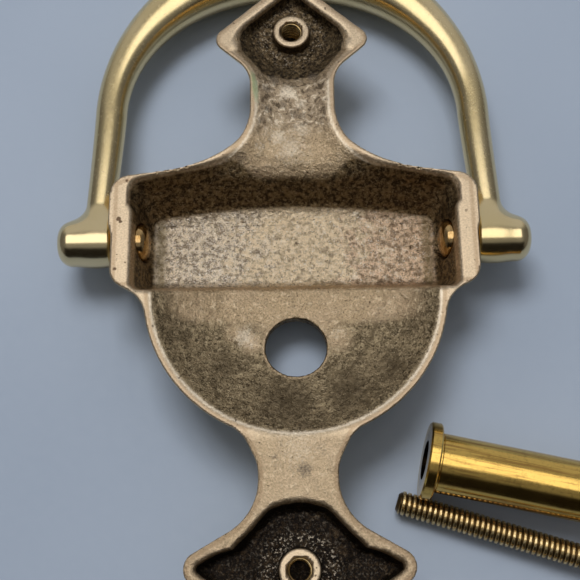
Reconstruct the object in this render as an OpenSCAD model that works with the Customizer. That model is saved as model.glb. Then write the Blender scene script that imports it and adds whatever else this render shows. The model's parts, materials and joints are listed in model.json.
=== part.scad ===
/* [Cast plate] */
// Half width of the hinge box
box_half_w = 37.3; // [34:0.1:40]
// Lower edge of the hinge box, from the viewer axis
box_y0 = 11; // [9:0.5:13]
// Outer corner of the hinge box, from the viewer axis
box_y1 = 34.4; // [33:0.2:36]
// Depth of the hinge box behind its bevelled tablet
box_t = 13.6; // [12:0.2:14.5]
// Depth of the plate over the tablet
plate_t = 16.5; // [15.5:0.5:18]
// Depth of the pocket behind the hinge box
pocket_t = 10.7; // [9:0.1:11.5]
// Draft of the pocket walls, in degrees
pocket_draft = 17; // [5:1:20]
// Draft of the pocket's upper wall, in degrees
pocket_top_draft = 36; // [20:1:40]
// Upper edge of the pocket's sloping wall, from the viewer axis
pocket_y1 = 37.5; // [36:0.5:38.5]
// Wall between the pocket mouth and the outside of the box
pocket_rim = 4; // [3:0.1:4.5]
// Slope of the tablet's bevel, in degrees
tablet_bevel = 54; // [30:1:60]
// Radius of the round shield
shield_r = 30.6; // [29:0.2:32]
// Width of the shield's rim
shield_rim = 1.5; // [1:0.1:2.5]
// Depth of the bowl behind the shield
bowl_t = 8; // [6:0.5:9]
// Wall of the shield
shield_wall = 2.7; // [2:0.1:4]
// Thickness of the necks and finials
neck_t = 6; // [5:0.5:8]
// Depth of the hollows behind the finials
hollow_t = 4; // [3:0.5:4.5]
// Radius of the lower hollow's rounded upper end
hollow_arc_r = 14; // [12:0.5:15]
// Width of the rim around the finial hollows
hollow_rim = 2.4; // [1.5:0.1:3]
// Depth of the trough behind the upper neck
trough_t = 2; // [1:0.25:3]
// Width of the rim around the trough
trough_rim = 1.6; // [1.2:0.1:2]

/* [Fixing bosses and viewer hole] */
// Height of the upper boss above the viewer axis
boss_y_top = 69.3; // [68.5:0.1:70.5]
// Height of the lower boss, below the viewer axis
boss_y_low = -43.7; // [-45:0.1:-43]
// Diameter of a boss
boss_d = 7.9; // [7:0.1:9]
// How far a boss stands below the door plane
boss_drop = 0.8; // [0.3:0.1:1.5]
// Diameter of a tapped hole, inside its thread
tap_d = 3.9; // [3.5:0.05:4.2]
// Depth of a tapped hole from the door plane
tap_t = 7; // [6:0.25:7.5]
// Depth of the finial's front stud
stud_t = 9; // [8.5:0.25:10]
// Diameter of the viewer hole
viewer_hole_d = 12.5; // [12.2:0.1:13]

/* [Bail] */
// Height of the pivot axis above the viewer axis
pivot_y = 22.6; // [22:0.1:24]
// Depth of the pivot axis behind the door plane
pivot_z = -6.5; // [-7.5:0.1:-6]
// Half width of the bail where the bow begins, along its centreline
bow_x = 39.8; // [39:0.1:41]
// Distance from the pivot axis to where the bow begins
bow_reach = 30; // [28:0.5:33]
// How much further apart the legs are at the knobs, on each side
leg_flare = 1.6; // [1:0.1:2.5]
// Radius of a leg beside its knob
leg_r = 2.9; // [2.5:0.1:3.1]
// Radius of the bail where the bow begins
bow_r = 3.4; // [3:0.1:4]
// Half width of the grip, across the bow
grip_w = 7.1; // [6:0.1:7.5]
// Half thickness of the grip, front to back
grip_t = 6.2; // [5:0.1:6.6]
// Distance from the pivot axis to the middle of the grip
grip_reach = 69; // [68:0.1:71]
// How fast the bow swells towards the grip
swell = 2.2; // [1.5:0.1:3]
// Diameter of a pivot knob
knob_d = 9.6; // [9:0.1:10]
// Half width over both knobs
knob_half_w = 49.2; // [48:0.1:51]

/* [Pivot pins] */
// Diameter of a pin's journal
journal_d = 7.9; // [7:0.1:8]
// Radial clearance of the journal in the box wall
journal_gap = 0.08; // [0.03:0.01:0.1]
// Diameter of the shank pressed into the knob
shank_d = 5; // [4:0.5:6]
// Length of the shank
shank_l = 6; // [4:0.5:7]
// How far a pin stands into the pocket
pin_stand = 0.5; // [0.3:0.1:2.5]

/* [Viewer] */
// Diameter of the outer barrel
barrel_d = 11.8; // [11.6:0.05:12]
// Diameter of both flanges
flange_d = 15.4; // [15:0.1:17]
// Thickness of both flanges
flange_t = 2.3; // [1.5:0.1:3]
// Length of the outer barrel with its flange
barrel_l = 34; // [32:0.5:36]
// Diameter of the inner barrel, over its thread
inner_d = 9.9; // [9.5:0.05:10]
// Bore of the inner barrel
inner_bore_d = 8; // [7.5:0.1:8.4]
// Length of the inner barrel behind its flange
inner_l = 22; // [18:0.5:24]
// Distance between the flanges as the viewer lies
grip_l = 39; // [37:0.5:41]
// Where the outer flange lies across the plate
viewer_x = 25.1; // [24:0.1:30]
// Where the outer flange lies along the plate
viewer_y = -22.9; // [-30:0.1:-22]
// Direction of the viewer's axis, in degrees
viewer_turn = -12.3; // [-20:0.1:-8]

/* [Fixing screws] */
// Thread diameter
screw_d = 4.76; // [4:0.01:5]
// Length under the head
screw_l = 57; // [45:1:60]
// Diameter of the head
head_d = 9; // [8:0.1:10]
// Height of the head
head_t = 3; // [2:0.1:4]
// Where the tip of the first screw lies across the plate
screw_x = 20.6; // [20:0.1:24]
// Where the tip of the first screw lies along the plate
screw_y = -30.7; // [-34:0.1:-30]
// Direction of the screws, in degrees
screw_turn = -17.5; // [-25:0.1:-15]
// How far the second screw lies from the first, across the plate
screw_dx = 6.4; // [2:0.1:20]
// How far the second screw lies from the first, along the plate
screw_dy = -20.3; // [-30:0.1:-16]

/* [Hidden] */
$fn = 64;
EPS = 0.01;
INF = 60;
table_z = -plate_t;
shield_y = box_y0 - 0.5;
bowl_r = shield_r - shield_rim;
pocket_half_w = box_half_w - pocket_rim;
cast = [0.80, 0.68, 0.50];
polished = [0.80, 0.68, 0.36];
turned = [0.86, 0.70, 0.28];
threaded = [0.62, 0.50, 0.30];
glass = [0.75, 0.85, 0.88, 0.5];

// Right side of each outline, as corners [x, y, rounding radius] from the top down.
top_tip = [0, 82.8, 2.2];
shoulder = [box_half_w, box_y1, 3.2];
upper_side = [[18, 67, 2.8], [9.2, 59.4, 7], [9.1, 40.1, 13.5], shoulder];
lower_side = [[11.8, -16.5, 1], [7.8, -24.4, 8], [7.8, -33.4, 11], [24.6, -43, 3.4]];
low_tip = [0, -60.2, 3];
neck_foot = [box_half_w, 24, 1];

// Unit vector from a to b.
function unit(a, b) = (b - a) / norm(b - a);
// Corner b of a, b, c rounded off with radius r, as points along its arc.
function round_corner(a, b, c, r, n = 10) =
    let (u = unit(b, a), v = unit(b, c), half = acos(u * v) / 2,
         m = b + (u + v) / norm(u + v) * r / sin(half),
         p = b + u * r / tan(half) - m, q = b + v * r / tan(half) - m)
    [for (k = [0 : n]) m + r * unit([0, 0], p * (1 - k / n) + q * (k / n))];
// Closed path of corners [x, y, r] with every corner rounded.
function round_path(c) = let (n = len(c)) [for (i = [0 : n - 1])
    each round_corner(xy(c[(i + n - 1) % n]), xy(c[i]), xy(c[(i + 1) % n]), c[i][2])];
// The same closed clockwise path moved inward by w, with its radii kept above least.
function inset_path(c, w, least = 0.8) = let (n = len(c)) [for (i = [0 : n - 1])
    let (b = xy(c[i]), u = unit(xy(c[(i + n - 1) % n]), b), v = unit(b, xy(c[(i + 1) % n])),
         d = (left(u) + left(v)), p = b - d * w / (1 + u * v), bulge = cross(u, v) > 0 ? w : -w)
    [p[0], p[1], max(least, c[i][2] + bulge)]];
function xy(p) = [p[0], p[1]];
function left(u) = [-u[1], u[0]];
// Clockwise path from a tip, down the right side and back up the left.
function mirrored(tip, side) = concat([tip], side, [for (i = [len(side) - 1 : -1 : 0])
    [-side[i][0], side[i][1], side[i][2]]]);
// Clockwise path of the lower neck and finial, which ends in its tip.
function hanging(tip, side) = concat(side, [tip], [for (i = [len(side) - 1 : -1 : 0])
    [-side[i][0], side[i][1], side[i][2]]]);

upper_path = mirrored(top_tip, concat(upper_side, [neck_foot]));
lower_path = hanging(low_tip, lower_side);

module upper_2d(w = 0) { polygon(round_path(w == 0 ? upper_path : inset_path(upper_path, w))); }
module lower_2d(w = 0) { polygon(round_path(w == 0 ? lower_path : inset_path(lower_path, w))); }
module box_2d(w = 0) {
    x = box_half_w - w;
    y0 = box_y0 + w;
    y1 = box_y1 - w;
    polygon(round_path([[x, y1, 3.2], [x, y0, 4], [-x, y0, 4], [-x, y1, 3.2]]));
}
module band_2d(y0, y1) { translate([-INF, y0]) square([2 * INF, y1 - y0]); }
// A slab of the child outline between two depths behind the door plane.
module slab(z0, z1) { translate([0, 0, -z1]) linear_extrude(z1 - z0) children(); }
// A block whose sides lean inward as it goes deeper from the door plane, its +Y side by its own angle.
module drafted(x, y0, y1, depth, lean, top_lean) {
    over = 1;
    side_o = over * tan(lean);
    top_o = over * tan(top_lean);
    difference() {
        translate([-x - side_o, y0 - side_o, -depth])
            cube([2 * (x + side_o), y1 - y0 + side_o + top_o, depth + over]);
        for (side = [-1, 1]) {
            translate([side * x, 0, 0]) rotate([0, side * lean, 0])
                translate([side > 0 ? 0 : -INF, -INF, -INF]) cube([INF, 3 * INF, 2 * INF]);
        }
        translate([0, y1, 0]) rotate([-top_lean, 0, 0])
            translate([-INF, 0, -INF]) cube([2 * INF, INF, 2 * INF]);
        translate([0, y0, 0]) rotate([lean, 0, 0])
            translate([-INF, -INF, -INF]) cube([2 * INF, INF, 2 * INF]);
    }
}
// A shallow dome: the part of a sphere deeper than the door plane, of radius r there and depth t.
module dome(r, t, z = 0) {
    big = (r * r + t * t) / (2 * t);
    translate([0, shield_y, z - t + big]) sphere(r = big, $fn = 128);
}

module knocker_plate() {
    bore_x = box_half_w + 1;
    color(cast) difference() {
        union() {
            slab(0, neck_t) upper_2d();
            slab(0, neck_t) lower_2d();
            slab(0, box_t) box_2d();
            shield();
            tablet();
            for (y = [boss_y_top, boss_y_low])
                translate([0, y, -stud_t]) cylinder(h = stud_t - neck_t + 1, d1 = boss_d + 3, d2 = boss_d + 6);
        }
        pocket();
        intersection() {
            dome(bowl_r, bowl_t);
            slab(-1, bowl_t + 1) circle(r = bowl_r, $fn = 128);
        }
        slab(-1, trough_t) intersection() {
            upper_2d(trough_rim);
            translate([-pocket_half_w, box_y1 - 2]) square([2 * pocket_half_w, 60 - box_y1]);
        }
        difference() {
            union() {
                slab(-1, hollow_t) intersection() {
                    upper_2d(hollow_rim);
                    band_2d(57.5, 90);
                }
                slab(-1, hollow_t) intersection() {
                    lower_2d(hollow_rim);
                    union() {
                        translate([0, boss_y_low - 1.4]) circle(r = hollow_arc_r);
                        band_2d(-60, boss_y_low + 4);
                    }
                }
            }
            for (y = [boss_y_top, boss_y_low])
                translate([0, y, -neck_t]) cylinder(h = neck_t - boss_drop, d = boss_d);
        }
        for (y = [boss_y_top, boss_y_low]) {
            translate([0, y, -tap_t]) cylinder(h = tap_t + 1, d = tap_d);
            translate([0, y, -boss_drop - 0.6]) cylinder(h = 0.6 + EPS, d1 = tap_d, d2 = tap_d + 1.2);
        }
        translate([0, 0, -plate_t]) cylinder(h = plate_t, d = viewer_hole_d);
        translate([-bore_x, pivot_y, pivot_z]) rotate([0, 90, 0])
            cylinder(h = 2 * bore_x, r = journal_d / 2 + journal_gap);
    }
}
// The pocket: drafted on all sides, and no nearer to the shoulders than their rim.
module pocket() {
    intersection() {
        drafted(pocket_half_w, shield_y, pocket_y1, pocket_t, pocket_draft, pocket_top_draft);
        slab(-1, pocket_t + 1) {
            upper_2d(trough_rim);
            band_2d(0, box_y1 - 6);
        }
    }
}
// The round shield: an upright edge with a dome in front of it.
module shield() {
    intersection() {
        dome(shield_r, bowl_t, -shield_wall);
        translate([0, shield_y, -plate_t]) cylinder(h = plate_t, r = shield_r, $fn = 128);
    }
}
// The bevelled tablet on the front of the hinge box, which is left plain.
module tablet() {
    margin = 2;
    translate([0, 0, -box_t])
        drafted(box_half_w - margin, box_y0 + margin, box_y1 - margin, plate_t - box_t,
            tablet_bevel, tablet_bevel);
}

// Bail: t runs from -1 at a knob through 0 where the bow begins to 1 at the middle of the grip.
lean = asin((plate_t + pivot_z - grip_t) / grip_reach);
STEPS = 22;
SIDES = 20;
function bow_point(a) = [bow_x * cos(a), bow_reach + (grip_reach - bow_reach) * sin(a)];
function leg_point(t) = [bow_x + leg_flare * pow(-t, 1.2), bow_reach * (1 + t)];
function bail_point(t) = t < 0 ? leg_point(t) : bow_point(90 * t);
// Half width or half thickness at t, for that of the grip.
function bail_half(t, grip) = t < 0 ? bow_r + (leg_r - bow_r) * -t
    : bow_r + (grip - bow_r) * pow(sin(90 * t), swell);
bail_ts = concat([for (k = [-6 : -1]) k / 6], [for (k = [0 : STEPS]) k / STEPS]);
// Stations [x, y, half width, half thickness] from the right knob over the grip to the left one.
bail_path = concat([for (t = bail_ts) station(t, 1)],
    [for (i = [len(bail_ts) - 2 : -1 : 0]) station(bail_ts[i], -1)]);
function station(t, side) = let (p = bail_point(t))
    [side * p[0], p[1], bail_half(t, grip_w), bail_half(t, grip_t)];
// Ring of points around station i, square to the centreline.
function ring(i) = let (n = len(bail_path), c = bail_path[i],
    d = unit(xy(bail_path[max(i - 1, 0)]), xy(bail_path[min(i + 1, n - 1)])), s = left(d))
    [for (k = [0 : SIDES - 1]) let (w = 360 * k / SIDES, out = c[2] * cos(w))
        [c[0] + out * s[0], c[1] + out * s[1], c[3] * sin(w)]];

// The bail lies folded up beside the plate: its plane leans forward by `lean` about the pivots.
module at_pivot() { translate([0, pivot_y, pivot_z]) rotate([-lean, 0, 0]) children(); }

module knocker_bail() {
    n = len(bail_path);
    color(polished) at_pivot() difference() {
        union() {
            polyhedron(points = [for (i = [0 : n - 1]) each ring(i)],
                faces = concat(
                    [[for (k = [0 : SIDES - 1]) k]],
                    [for (i = [0 : n - 2], k = [0 : SIDES - 1]) each
                        let (a = i * SIDES, m = (k + 1) % SIDES)
                        [[a + k, a + SIDES + k, a + SIDES + m], [a + k, a + SIDES + m, a + m]]],
                    [[for (k = [SIDES - 1 : -1 : 0]) (n - 1) * SIDES + k]]));
            for (side = [0, 1]) mirror([side, 0, 0]) knob();
        }
        for (side = [0, 1]) mirror([side, 0, 0])
            translate([knob_inner, 0, 0]) rotate([0, 90, 0])
                translate([0, 0, -1]) cylinder(h = shank_l + 1, d = shank_d);
    }
}
knob_inner = box_half_w + 0.6;
// A round knob across the foot of a leg, with a domed outer end.
module knob() {
    cap = 1.8;
    big = (knob_d * knob_d / 4 + cap * cap) / (2 * cap);
    rotate([0, 90, 0]) {
        translate([0, 0, knob_inner]) cylinder(h = knob_half_w - cap - knob_inner, d = knob_d);
        intersection() {
            translate([0, 0, knob_half_w - big]) sphere(r = big);
            translate([0, 0, knob_half_w - cap - EPS]) cylinder(h = cap + 1, d = knob_d);
        }
    }
}

// A turned pivot pin: a shank pressed into the knob and a journal that runs in the box wall.
module pivot_pin(side) {
    wall_x = pocket_half_w + pivot_z * tan(pocket_draft);
    color(turned) mirror([side, 0, 0]) translate([0, pivot_y, pivot_z]) rotate([0, 90, 0]) {
        translate([0, 0, wall_x - pin_stand]) cylinder(h = knob_inner - wall_x + pin_stand, d = journal_d);
        translate([0, 0, knob_inner - EPS]) cylinder(h = shank_l - 0.5, d = shank_d);
        translate([0, 0, wall_x - pin_stand - 0.6]) cylinder(h = 0.6, d1 = journal_d - 1.2, d2 = journal_d);
    }
}
module pivot_pin_left() { pivot_pin(1); }
module pivot_pin_right() { pivot_pin(0); }

// The viewer lies on its two flanges. Its parts are drawn along +Z from the outer flange's face.
module at_viewer() {
    translate([viewer_x, viewer_y, table_z + flange_d / 2]) rotate([0, 0, viewer_turn])
        rotate([0, 90, 0]) children();
}
lens_d = 9;
seat_t = 1.2;
inner_z = grip_l + flange_t;
tail_z = inner_z - inner_l;
module lens(z, t) { translate([0, 0, z]) cylinder(h = t, d = lens_d); }
module tube(z0, z1, d, bore) {
    translate([0, 0, z0]) difference() {
        cylinder(h = z1 - z0, d = d);
        translate([0, 0, -1]) cylinder(h = z1 - z0 + 2, d = bore);
    }
}

module viewer_outer_barrel() {
    color(turned) at_viewer() difference() {
        union() {
            cylinder(h = flange_t, d = flange_d);
            cylinder(h = barrel_l, d = barrel_d);
        }
        translate([0, 0, -1]) cylinder(h = barrel_l, d = lens_d - 1.2);
        translate([0, 0, seat_t]) cylinder(h = barrel_l, d = lens_d + lens_gap);
        translate([0, 0, stack_z[5]]) cylinder(h = barrel_l, d = inner_d + 2 * thread_gap);
    }
}
lens_gap = 0.08;
thread_gap = 0.05;
// Where each piece of the lens stack starts, from the outer flange's face.
stack_z = [seat_t, seat_t + 2.2, seat_t + 3, seat_t + 4.8, seat_t + 8.3, seat_t + 10.5];
module viewer_objective_lens() { color(glass) at_viewer() lens(stack_z[0], stack_z[1] - stack_z[0]); }
module viewer_lens_spacer() { color(turned) at_viewer() tube(stack_z[1], stack_z[2], lens_d, lens_d - 2); }
module viewer_negative_lens() { color(glass) at_viewer() lens(stack_z[2], stack_z[3] - stack_z[2]); }
module viewer_lens_sleeve() { color(turned) at_viewer() tube(stack_z[3], stack_z[4], lens_d, lens_d - 2); }
module viewer_field_lens() { color(glass) at_viewer() lens(stack_z[4], stack_z[5] - stack_z[4]); }

module viewer_inner_barrel() {
    slot_w = 1.6;
    slot_t = 1.1;
    color(turned) at_viewer() difference() {
        union() {
            translate([0, 0, tail_z]) cylinder(h = inner_l + EPS, d = inner_d);
            translate([0, 0, inner_z]) cylinder(h = flange_t, d = flange_d);
        }
        translate([0, 0, tail_z - 1]) cylinder(h = inner_l + flange_t + 2, d = inner_bore_d);
        translate([0, 0, inner_z]) cylinder(h = flange_t + 1, d = lens_d + lens_gap);
        for (side = [-1, 1])
            translate([-slot_w / 2, side * flange_d / 2 - 2.2, inner_z + flange_t - slot_t])
                cube([slot_w, 4.4, slot_t + 1]);
    }
}
module viewer_eyepiece_lens() { color(glass) at_viewer() lens(inner_z, 1.5); }
module viewer_eyepiece_ring() { color(turned) at_viewer() tube(inner_z + 1.5, inner_z + 2.1, lens_d, 7); }

// A slotted machine screw, drawn from its tip along +Z, which lies on its tip and the edge of its head.
module screw_shape() {
    tip = 0.8;
    slot_w = 1.2;
    big = (head_d * head_d / 4 + head_t * head_t) / (2 * head_t);
    difference() {
        union() {
            cylinder(h = tip, d1 = screw_d - 2 * tip, d2 = screw_d);
            translate([0, 0, tip]) cylinder(h = screw_l - tip + EPS, d = screw_d);
            intersection() {
                translate([0, 0, screw_l + head_t - big]) sphere(r = big);
                translate([0, 0, screw_l]) cylinder(h = head_t + 1, d = head_d);
            }
        }
        translate([-slot_w / 2, -head_d, screw_l + head_t - 1.4]) cube([slot_w, 2 * head_d, 3]);
    }
}
module lying_screw(n) {
    tilt = atan((head_d - screw_d) / 2 / (screw_l - 0.8));
    translate([screw_x + n * screw_dx, screw_y + n * screw_dy, table_z + screw_d / 2])
        rotate([0, 0, screw_turn]) rotate([0, 90 - tilt, 0]) translate([0, 0, -0.8]) screw_shape();
}
module mounting_screw_1() { color(threaded) lying_screw(0); }
module mounting_screw_2() { color(threaded) lying_screw(1); }

knocker_plate();
knocker_bail();
pivot_pin_left();
pivot_pin_right();
viewer_outer_barrel();
viewer_objective_lens();
viewer_lens_spacer();
viewer_negative_lens();
viewer_lens_sleeve();
viewer_field_lens();
viewer_inner_barrel();
viewer_eyepiece_lens();
viewer_eyepiece_ring();
mounting_screw_1();
mounting_screw_2();
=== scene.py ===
import json
import math

import bpy
import numpy as np
from mathutils import Matrix, Vector


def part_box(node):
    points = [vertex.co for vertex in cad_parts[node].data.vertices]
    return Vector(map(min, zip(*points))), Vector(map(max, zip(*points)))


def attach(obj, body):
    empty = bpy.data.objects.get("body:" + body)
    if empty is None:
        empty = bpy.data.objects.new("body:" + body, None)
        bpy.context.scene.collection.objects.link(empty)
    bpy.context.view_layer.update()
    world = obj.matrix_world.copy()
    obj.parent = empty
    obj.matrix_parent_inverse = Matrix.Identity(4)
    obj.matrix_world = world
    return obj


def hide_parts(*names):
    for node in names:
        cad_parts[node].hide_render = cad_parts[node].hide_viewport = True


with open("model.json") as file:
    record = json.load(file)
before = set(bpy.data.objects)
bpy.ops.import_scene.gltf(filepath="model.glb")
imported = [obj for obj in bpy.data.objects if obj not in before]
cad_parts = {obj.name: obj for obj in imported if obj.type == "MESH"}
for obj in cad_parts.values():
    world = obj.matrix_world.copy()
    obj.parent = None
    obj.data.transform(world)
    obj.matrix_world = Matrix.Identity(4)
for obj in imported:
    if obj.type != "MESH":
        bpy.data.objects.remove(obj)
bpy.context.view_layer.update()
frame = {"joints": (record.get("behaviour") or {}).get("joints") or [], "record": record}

MM = 0.001
RNG = np.random.default_rng(7)
JOINTS = {j["name"]: j for j in frame["joints"]}
MOUNTS = {m["name"]: m for m in frame["record"]["mounts"]}


def box_mm(node):
    """Low and high corner of a CAD node, in mm."""
    lo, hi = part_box(node)
    return np.array(lo) / MM, np.array(hi) / MM


# ---------------------------------------------------------------- dimensions, in mm
PLATE_LO, PLATE_HI = box_mm("knocker_plate")
TABLE_Z = PLATE_LO[2]
PLATE_T = -TABLE_Z
BOX_HALF_W = PLATE_HI[0]
PIVOT = np.array(JOINTS["bail_swing"]["pos_m"]) / MM
HOLE_R = MOUNTS["viewer_hole"]["dims"]["r_mm"]
TAP_R = MOUNTS["upper_boss"]["dims"]["r_mm"]
UPPER_BOSS_Y = MOUNTS["upper_boss"]["pos_m"][1] / MM
LOWER_BOSS_Y = MOUNTS["lower_boss"]["pos_m"][1] / MM

BOX_Y0, BOX_Y1 = 11.0, 34.4
BOX_T = 13.6
BOX_CORNER_R = 4.0
BOX_FRONT_R = 3.0
BOX_SIDE_LEAN, BOX_FOOT_LEAN = 4.0, 9.0
SHIELD_Y = BOX_Y0 - 0.5
SHIELD_R = 30.6
SHIELD_RIM = 1.5
BOWL_R = SHIELD_R - SHIELD_RIM
BOWL_T = 8.0
BOWL_POWER = 2.8
SHIELD_WALL = 2.7
SHIELD_LEAN = 14.0
NECK_T = 6.0
NECK_LEAN, NECK_FRONT_R = 20.0, 2.6
POCKET_T = 10.7
POCKET_HALF_W = BOX_HALF_W - 4.0
POCKET_DRAFT = 17.0
POCKET_TOP_Y = 36.3
POCKET_TOP_DRAFT = 37.0
POCKET_ARCH, POCKET_ARCH_HALF_W = 2.8, 30
SHOULDER_RIM, SHOULDER_DRAFT, SHOULDER_REACH = 1.5, 10, 6
TABLET_MARGIN = 2.0
TABLET_BEVEL = 54.0
TROUGH_T, TROUGH_RIM = 2.0, 1.5
TROUGH_DRAFT = 50
TROUGH_Y0, TROUGH_Y1 = 30, 64
HOLLOW_T, HOLLOW_DRAFT = 4.0, 14
UPPER_HOLLOW_RIM, LOWER_HOLLOW_RIM = 2.4, 2.2
UPPER_HOLLOW_R, UPPER_HOLLOW_END_DRAFT = 12.7, 50
LOWER_HOLLOW_R, LOWER_HOLLOW_END_DRAFT = 14.0, 20
LOWER_HOLLOW_DROP, LOWER_HOLLOW_REACH = 1.4, 4
BOSS_R = 3.95
BOSS_DROP = 0.8
BOSS_FOOT_T = 5
TAP_T = 7.0
TAP_SLEEVE_GAP = 0.3
TAP_MOUTH_R, TAP_MOUTH_T = 2.5, 0.2
THREAD_PITCH = 1.06
STUD_R = 6.4
STUD_T = 9.0
PIN_BORE_R, PIN_BORE_X = 4.15, 25

# Roundings of the plate's edges, and fillets where two of its shapes meet
EDGE_R, INNER_EDGE_R = 0.5, 0.75
TABLET_EDGE_R, TABLET_FILLET_R = 1.0, 0.5
SHIELD_EDGE_R, SHIELD_FILLET_R = 1.4, 5.5
UPPER_NECK_FILLET_R, LOWER_NECK_FILLET_R = 2.5, 1.4
STUD_EDGE_R, STUD_FILLET_R = 2.2, 1.2
BOSS_EDGE_R, BOSS_FILLET_R = 0.45, 1.1
TAP_EDGE_R, HOLE_EDGE_R, PIN_BORE_EDGE_R = 0.2, 0.15, 0.4
POCKET_CORNER_R, POCKET_TOP_R, POCKET_FLOOR_R, POCKET_MOUTH_R = 1.6, 2.2, 1.8, 0.8
TROUGH_FLOOR_R, TROUGH_SIDE_R = 2.4, 1.0
HOLLOW_CORNER_R, HOLLOW_FLOOR_R = 1.6, 1.2
BOWL_JOIN_R, TROUGH_JOIN_R = 1.1, 3.0
UPPER_HOLLOW_JOIN_R, LOWER_HOLLOW_JOIN_R = 2.6, 0.5

# Unevenness of the casting, and the tool's rings in its finial hollows
WIDE_RELIEF, GRAIN_RELIEF = 0.08, 0.04
RIDGE_RELIEF, RIDGE_STEP, RIDGE_REACH = 0.09, 1.7, 11

# Size of the cells in which the castings are meshed, and the room left around them
CELL, MARGIN = 0.42, 1.0

# Right side of each outline, as corners [x, y, rounding radius] from the top down.
# The first and last points only close the path.
UPPER_PATH = [(-18.0, 67.0, 0), (0, 82.8, 2.2), (18.0, 67.0, 2.8), (9.2, 59.4, 7),
              (9.1, 40.1, 13.5), (BOX_HALF_W, BOX_Y1, 3.2), (BOX_HALF_W, 24, 1), (-5, 24, 0)]
LOWER_PATH = [(-5, -16.5, 0), (11.8, -16.5, 1), (7.8, -24.4, 8), (7.8, -33.4, 11), (24.6, -43, 3.4),
              (0, -60.2, 3), (-24.6, -43, 0)]

# Bail
BOW_X = 39.8
BOW_REACH = 30.0
LEG_FLARE = 1.6
LEG_R, BOW_R = 2.9, 3.4
GRIP_W, GRIP_T = 7.1, 6.2
GRIP_REACH = 69.0
SWELL = 2.2
KNOB_R, KNOB_END_R = 4.8, 3.0
KNOB_FILLET_R, KNOB_EDGE_R = 3.8, 0.7
KNOB_HALF_W = box_mm("knocker_bail")[1][0]
KNOB_INNER = BOX_HALF_W + 0.6
LEAN = math.asin((PLATE_T + PIVOT[2] - GRIP_T) / GRIP_REACH)

# Pins
JOURNAL_R = 3.95
SHANK_R = 2.5
SHANK_L = 5.5
PIN_END_X = 30.2
PIN_DOME = 2.0

# Viewer, whose parts are measured from the outer flange's face along its axis
BARREL_R = 5.9
FLANGE_R = 7.7
FLANGE_T = 2.3
BARREL_L = 34.0
INNER_R = 4.95
INNER_BORE_R = 4.0
INNER_L = 22.0
GRIP_L = 39.0
VIEWER_X, VIEWER_Y = 25.1, -22.9
LENS_R = 4.5
SEAT_T = 1.2
VIEWER_AXIS = Vector(JOINTS["viewer_extend"]["axis"]).normalized()

# Screws
SCREW_R, SCREW_ROOT_R = 2.38, 2.02
SCREW_L, SCREW_CHAMFER = 57.0, 0.8
HEAD_R, HEAD_T = 4.5, 3.0
SCREW_TIPS = [(20.6, -30.7), (27.0, -51.0)]
SCREW_TURN = -17.5


# ---------------------------------------------------------------- distance fields
def round_max(a, b, r):
    """Intersection of two distance fields, with the outer edge rounded to radius r."""
    a, b = a + r, b + r
    return np.minimum(np.maximum(a, b), 0) + np.hypot(np.maximum(a, 0), np.maximum(b, 0)) - r


def round_min(a, b, r):
    """Union of two distance fields, with a fillet of radius r in the corner between them."""
    return -round_max(-a, -b, r)


def path_parts(corners):
    """Segments and corner arcs of a clockwise path of [x, y, radius]."""
    p = [np.array(c[:2], float) for c in corners]
    segments, arcs, start = [], [], p[0]
    for i in range(1, len(p) - 1):
        back = (p[i - 1] - p[i]) / np.linalg.norm(p[i - 1] - p[i])
        ahead = (p[i + 1] - p[i]) / np.linalg.norm(p[i + 1] - p[i])
        half = math.acos(np.clip(back @ ahead, -1, 1)) / 2
        r = corners[i][2]
        reach = r / math.tan(half)
        middle = (back + ahead) / np.linalg.norm(back + ahead)
        centre = p[i] + middle * r / math.sin(half)
        turn = back[0] * ahead[1] - back[1] * ahead[0]
        segments.append((start, p[i] + back * reach))
        arcs.append((centre, r, middle, math.sin(half), 1.0 if turn > 0 else -1.0))
        start = p[i] + ahead * reach
    segments.append((start, p[-1]))
    return segments, arcs


def path_field(parts, x, y):
    """Signed distance from a path's right side, mirrored about x = 0, with the inside negative."""
    x = np.abs(x)
    best = np.full(np.broadcast(x, y).shape, 1e3)
    segments, arcs = parts
    for a, b in segments:
        d = b - a
        t = np.clip(((x - a[0]) * d[0] + (y - a[1]) * d[1]) / (d @ d), 0, 1)
        gap = np.hypot(x - a[0] - t * d[0], y - a[1] - t * d[1])
        side = np.sign(d[0] * (y - a[1]) - d[1] * (x - a[0]))
        best = np.where(gap < np.abs(best), gap * side, best)
    for centre, r, middle, cos_span, sign in arcs:
        u, v = x - centre[0], y - centre[1]
        away = np.hypot(u, v) + 1e-9
        within = -(u * middle[0] + v * middle[1]) / away >= cos_span - 1e-6
        gap = away - r
        best = np.where(within & (np.abs(gap) < np.abs(best)), gap * sign, best)
    return best


def draft(along, start, depth, degrees):
    """A wall that leans inward from start as it goes deeper."""
    lean = math.radians(degrees)
    return (along - start + depth * math.tan(lean)) * math.cos(lean)


def dish(rho, depth, radius):
    """Depth of the bowl at distance rho from its axis, and the length of that slope's normal."""
    share = np.minimum(rho / radius, 1.3)
    slope = depth * BOWL_POWER * share ** (BOWL_POWER - 1) / radius
    return depth * (1 - share ** BOWL_POWER), np.sqrt(1 + slope ** 2)


def wave_set(count, slow, fast):
    """Random directions and phases for waves of slow to fast radians per mm."""
    return [(RNG.uniform(slow, fast), RNG.uniform(0, math.pi), RNG.uniform(0, 2 * math.pi))
            for _ in range(count)]


WIDE_WAVES = wave_set(14, 0.25, 1.3)
GRAIN_WAVES = wave_set(26, 1.6, 4.4)


def waves(wave_list, x, y):
    """Unevenness of a cast surface, about -1 to 1."""
    total = 0
    for k, angle, phase in wave_list:
        total = total + np.sin(k * (x * math.cos(angle) + y * math.sin(angle)) + phase) / (1 + k)
    return total * 1.4 / sum(1 / (1 + k) for k, angle, phase in wave_list) ** 0.5


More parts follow.
